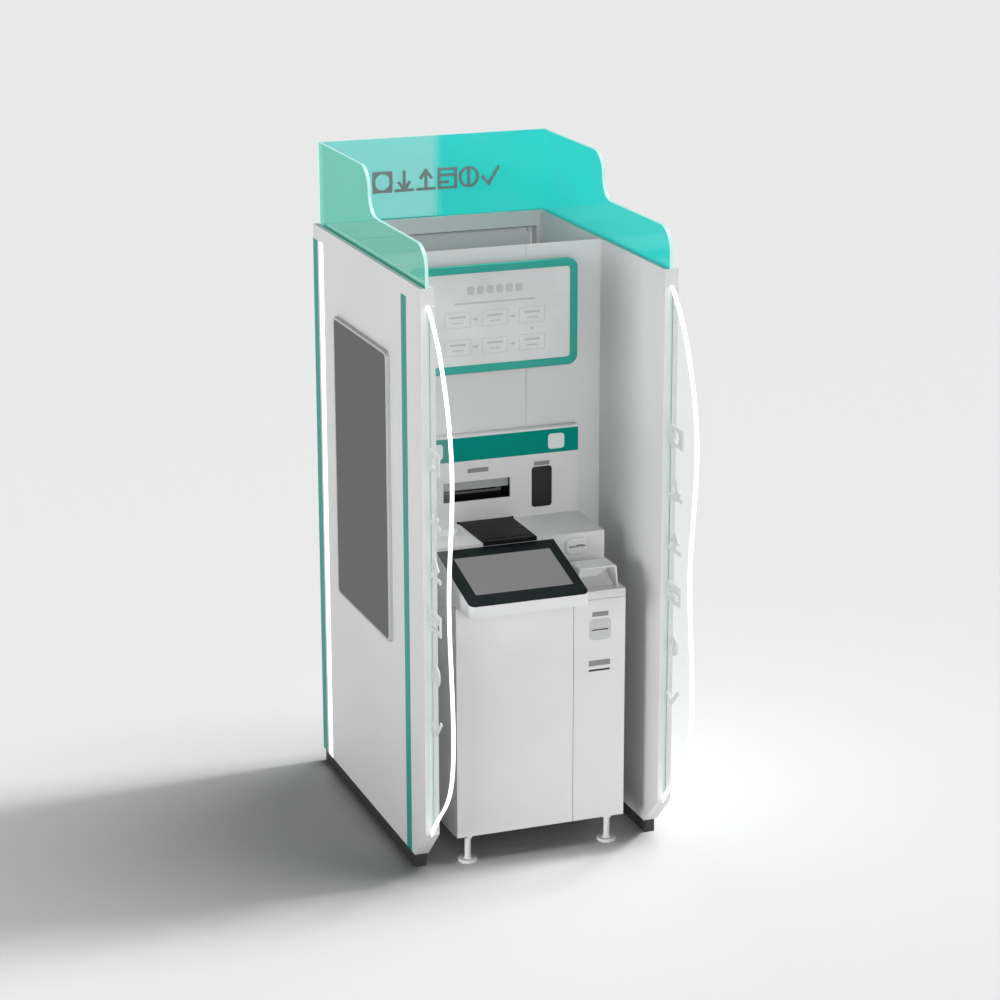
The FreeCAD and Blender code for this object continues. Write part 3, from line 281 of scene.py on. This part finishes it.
FIN = clear_fin("fin_acrylic", "DDEFE8", 0.05, wall_front=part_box("fin_clamps")[0][1])
# The three panes are one tinted glass; their different colours, glows and covers are painted light
# and shade for how light falls on each.
HEADER_BACK = tinted_glass_painted_light("header_back_tint_painted_light", (0.01, 0.33, 0.30), (0.012, 0.38, 0.35),
                           0.49, 0.86, thin_axis=1)
HEADER_RIGHT = tinted_glass_painted_light("header_right_tint_painted_light", (0.02, 0.26, 0.24), (0.008, 0.40, 0.37),
                            0.88, 0.88, thin_axis=0)
HEADER_LEFT = tinted_glass_painted_light("header_left_tint_painted_light", (0.03, 0.26, 0.19), (0.03, 0.23, 0.17),
                           0.54, 0.54, thin_axis=0)

LOOKS = {
    "left_wall": WALL_WHITE, "right_wall": WALL_WHITE, "fin_clamps": WALL_WHITE,
    "wall_frames": MODULE, "plinths": PLINTH, "wall_trims": TEAL_TRIM, "rear_lights": LIGHT,
    "left_fin": FIN, "right_fin": FIN, "fin_lights": LIGHT, "fin_icons": SIGN_WHITE_PAINTED_SHADE,
    "header_left": HEADER_LEFT, "header_right": HEADER_RIGHT, "header_back": HEADER_BACK,
    "header_channels": CHANNEL, "header_icons": SIGN_METAL, "rear_frame": REAR_WHITE,
    "rear_door": REAR_WHITE, "rear_handle": STEEL, "fascia_left": FASCIA_WHITE,
    "fascia_right": FASCIA_WHITE, "info_frame": TEAL_FRAME, "info_panel": PANEL_PALE,
    "info_case": MODULE, "ad_display_case": AD_FRAME, "ad_display_screen": AD_GREY,
    "head_front": WHITE, "head_band": TEAL_BAND, "band_windows": PALE_LENS,
    "head_labels": LABEL_GREY, "scanner_window": SCANNER, "head_case": WHITE,
    "cash_throat": DARK, "cash_shutter": SHUTTER, "cash_recycler": MODULE, "shelf": WHITE,
    "pin_pad": STEEL, "keypad_lid": LID_BLACK, "card_bezel": PLASTIC_WHITE,
    "card_reader": DARK, "console_housing": PLASTIC_WHITE, "console_bezel": BEZEL_BLACK,
    "touchscreen": SCREEN_GREY, "cabinet_carcass": WHITE, "cabinet_door": WHITE,
    "column_door": WHITE, "receipt_bezel": RECEIPT_GREY, "column_labels": LABEL_GREY,
    "door_pivots": PIVOT_STEEL, "lid_pivots": LID_BLACK, "column_cap": WHITE,
    "slip_hood": PLASTIC_WHITE, "safe_body": SAFE, "safe_door": SAFE, "cash_cassettes": CASSETTE,
    "receipt_printer": MODULE, "slip_printer": MODULE, "computer": MODULE,
    "power_inlet": DARK, "levelling_feet": PLASTIC_WHITE,
}
for node, material in LOOKS.items():
    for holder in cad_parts[node].material_slots:
        holder.material = material

# softened edges on the sheet-metal and moulded pieces, in millimetres
SOFT_EDGES = {
    "left_wall": 1.0, "right_wall": 1.0, "plinths": 1.0, "head_front": 1.0, "shelf": 1.6,
    "cabinet_door": 1.2, "column_door": 1.2, "console_housing": 2.0, "console_bezel": 0.8,
    "keypad_lid": 1.0, "column_cap": 1.2, "slip_hood": 0.8, "card_bezel": 0.6,
    "header_left": 0.8, "header_right": 0.8, "header_back": 0.8, "rear_door": 0.8,
}
for node, width in SOFT_EDGES.items():
    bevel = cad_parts[node].modifiers.new("soft_edge", "BEVEL")
    bevel.width = width * MM
    bevel.segments = 2
    bevel.limit_method = "ANGLE"
    bevel.angle_limit = math.radians(40)


# ------------------------------------------------------------------ faint print on the board
def flat_tile(mesh, x0, x1, z0, z1, y, thick, turn=0.0):
    """One printed tile in the XZ plane, with clipped corners and turned about its middle."""
    clip = min(x1 - x0, z1 - z0) * 0.22
    outline = [(x0 + clip, z0), (x1 - clip, z0), (x1, z0 + clip), (x1, z1 - clip),
               (x1 - clip, z1), (x0 + clip, z1), (x0, z1 - clip), (x0, z0 + clip)]
    cx, cz = (x0 + x1) / 2, (z0 + z1) / 2
    spun = [(cx + (x - cx) * math.cos(turn) - (z - cz) * math.sin(turn),
             cz + (x - cx) * math.sin(turn) + (z - cz) * math.cos(turn)) for x, z in outline]
    front = [mesh.verts.new((x, y - thick, z)) for x, z in spun]
    back = [mesh.verts.new((x, y, z)) for x, z in spun]
    mesh.faces.new(front)
    mesh.faces.new(back[::-1])
    count = len(spun)
    for n in range(count):
        mesh.faces.new((front[n], back[n], back[(n + 1) % count], front[(n + 1) % count]))


def make_board_print():
    """Title tiles and a rule, then two rows of framed steps with arrows; no lettering."""
    low, high = (Vector(c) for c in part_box("info_panel"))
    mid_x, top = (low.x + high.x) / 2, high.z
    tall, y, thick = high.z - low.z, low.y, 0.0004
    mesh = bmesh.new()

    def bar(cx, cz, w, h, turn=0.0):
        flat_tile(mesh, cx - w / 2, cx + w / 2, cz - h / 2, cz + h / 2, y, thick, turn)

    def diamond(cx, cz):
        bar(cx, cz, dot, dot, math.radians(45))

    tile_pitch, tile_w, tile_h, dot = 0.036, 0.027, 0.030, 0.011
    tiles_at, rule_at, rows_at, turn_at = 0.20, 0.33, (0.50, 0.79), 0.645   # shares of the height
    for place in range(6):
        bar(mid_x + (place - 2.5) * tile_pitch, top - tiles_at * tall, tile_w, tile_h)
    bar(mid_x, top - rule_at * tall, 0.30, 0.007)
    pitch, step_w, step_h, line = 0.140, 0.096, 0.056, 0.0016
    for level in rows_at:
        cz = top - level * tall
        for column in (-1, 0, 1):
            cx = mid_x + column * pitch
            for side in (-1, 1):
                bar(cx, cz + side * step_h / 2, step_w, line)
                bar(cx + side * step_w / 2, cz, line, step_h)
            bar(cx, cz + 0.010, step_w * 0.62, 0.007)
            bar(cx, cz - 0.010, step_w * 0.44, 0.004)
            if column < 1:
                diamond(cx + pitch / 2, cz)
                bar(cx + pitch / 2 - 0.009, cz, 0.014, 0.004)
    diamond(mid_x + pitch, top - turn_at * tall)
    data = bpy.data.meshes.new("board_print")
    mesh.to_mesh(data)
    mesh.free()
    thing = bpy.data.objects.new("board_print", data)
    bpy.context.scene.collection.objects.link(thing)
    data.materials.append(PRINT_GREY)
    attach(thing, BODY)


make_board_print()


# ------------------------------------------------------------------ floor, light, camera
def make_floor():
    mesh = bpy.data.meshes.new("studio_floor")
    corners = [(x * FLOOR_HALF, y * FLOOR_HALF, 0) for x, y in ((-1, -1), (1, -1), (1, 1), (-1, 1))]
    mesh.from_pydata(corners, [], [(0, 1, 2, 3)])
    floor = bpy.data.objects.new("studio_floor", mesh)
    bpy.context.scene.collection.objects.link(floor)
    material, _, shader = new_material("studio_floor")
    shader.inputs["Base Color"].default_value = (FLOOR_COLOUR, FLOOR_COLOUR, FLOOR_COLOUR, 1)
    shader.inputs["Roughness"].default_value = 0.9
    shader.inputs["Specular IOR Level"].default_value = 0.05
    mesh.materials.append(material)
    return floor


def make_world():
    world = bpy.data.worlds.new("studio")
    world.use_nodes = True
    background = world.node_tree.nodes["Background"]
    background.inputs["Color"].default_value = (1, 1, 1, 1)
    background.inputs["Strength"].default_value = SKY
    bpy.context.scene.world = world


def make_lights(floor):
    """Suns; the two fills are flagged off the floor, so that the booth's shadow stays deep."""
    flag = bpy.data.collections.new("flagged_off")
    flag.objects.link(floor)
    flag.collection_objects[0].light_linking.link_state = "EXCLUDE"
    for name, (azimuth, elevation, strength, soft) in SUNS.items():
        sun = bpy.data.lights.new(name, "SUN")
        sun.energy = strength
        sun.angle = math.radians(soft)
        lamp = bpy.data.objects.new(name, sun)
        bpy.context.scene.collection.objects.link(lamp)
        turn, rise = math.radians(azimuth), math.radians(elevation)
        source = Vector((math.sin(turn) * math.cos(rise), math.cos(turn) * math.cos(rise),
                         math.sin(rise)))
        lamp.location = source * 10
        if name.endswith("fill"):
            lamp.light_linking.receiver_collection = flag
        lamp.rotation_euler = (-source).to_track_quat("-Z", "Y").to_euler()


def make_camera():
    data = bpy.data.cameras.new("photo_view")
    data.lens = LENS_MM
    data.sensor_width = SENSOR_MM
    data.clip_end = CAMERA_REACH
    camera = bpy.data.objects.new("photo_view", data)
    bpy.context.scene.collection.objects.link(camera)
    ahead = Vector((math.sin(CAMERA_YAW) * math.cos(CAMERA_PITCH),
                    math.cos(CAMERA_YAW) * math.cos(CAMERA_PITCH), math.sin(CAMERA_PITCH)))
    level = Vector((math.cos(CAMERA_YAW), -math.sin(CAMERA_YAW), 0))
    above = level.cross(ahead)
    right = math.cos(CAMERA_ROLL) * level + math.sin(CAMERA_ROLL) * above
    up = -math.sin(CAMERA_ROLL) * level + math.cos(CAMERA_ROLL) * above
    turn = Matrix((right, up, -ahead)).transposed().to_4x4()
    camera.matrix_world = Matrix.Translation(CAMERA_AT) @ turn
    bpy.context.scene.camera = camera


studio_floor = make_floor()
make_world()
make_lights(studio_floor)
make_camera()
view = bpy.context.scene.view_settings
view.view_transform = "Standard"
view.look = "None"
